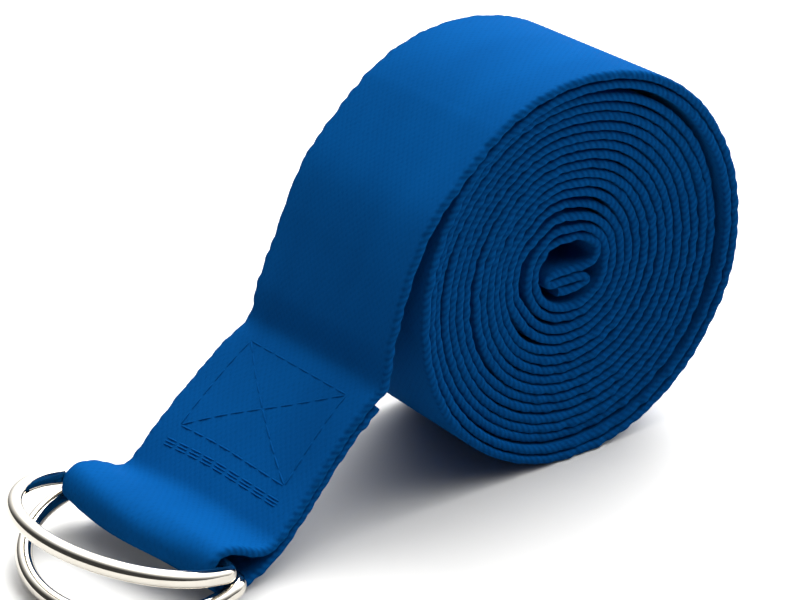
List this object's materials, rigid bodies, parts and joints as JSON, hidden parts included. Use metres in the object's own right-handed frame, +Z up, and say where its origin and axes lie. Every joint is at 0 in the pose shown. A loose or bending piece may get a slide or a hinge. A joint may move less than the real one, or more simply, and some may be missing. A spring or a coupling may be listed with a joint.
{
  "type": "stretching strap",
  "caption": "Rolled webbing stretching strap: a flat strap wound into a roll, its outer end hanging off and sewn round a pair of metal D-rings.",
  "frame": {"origin": "middle of the flat patch on which the wound roll rests on the floor", "axes": "+Z up; +Y along the roll's axis, across the webbing; -X from the roll towards the D-rings"},
  "size_m": [0.1443, 0.0524, 0.0744],
  "materials": {
    "webbing": "royal blue cotton webbing, plain ribbed weave, matt",
    "thread": "blue sewing thread, slightly glossy",
    "plated_steel": "bright nickel plate on steel wire"
  },
  "bodies": {
    "roll": {"wound_webbing": "webbing"},
    "hanging_turn": {"hanging_webbing": "webbing"},
    "sewn_end": {"sewn_webbing_loop": "webbing", "box_stitch_top": "thread", "box_stitch_under": "thread", "bar_tack_top": "thread", "bar_tack_under": "thread"},
    "upper_ring": {"upper_d_ring": "plated_steel"},
    "lower_ring": {"lower_d_ring": "plated_steel"}
  },
  "joints": [
    {"name": "outer_turn_peel", "type": "hinge", "parent": "roll", "child": "hanging_turn", "pos_m": [-0.01844, 0, 0.06907], "axis": [0, 1, 0], "range_deg": [0, 60]},
    {"name": "crease_fold", "type": "hinge", "parent": "hanging_turn", "child": "sewn_end", "pos_m": [-0.0449, 0, 0.0272], "axis": [0, 1, 0], "range_deg": [-45, 50]},
    {"name": "upper_ring_swing", "type": "hinge", "parent": "sewn_end", "child": "upper_ring", "pos_m": [-0.08347, -0.00479, 0.0081], "axis": [-0.1734, 0.9835, 0.0523], "range_deg": [-20, 105]},
    {"name": "lower_ring_swing", "type": "hinge", "parent": "sewn_end", "child": "lower_ring", "pos_m": [-0.08133, -0.00424, 0.0049], "axis": [-0.1734, 0.9835, 0.0523], "range_deg": [-120, 0]}
  ]
}
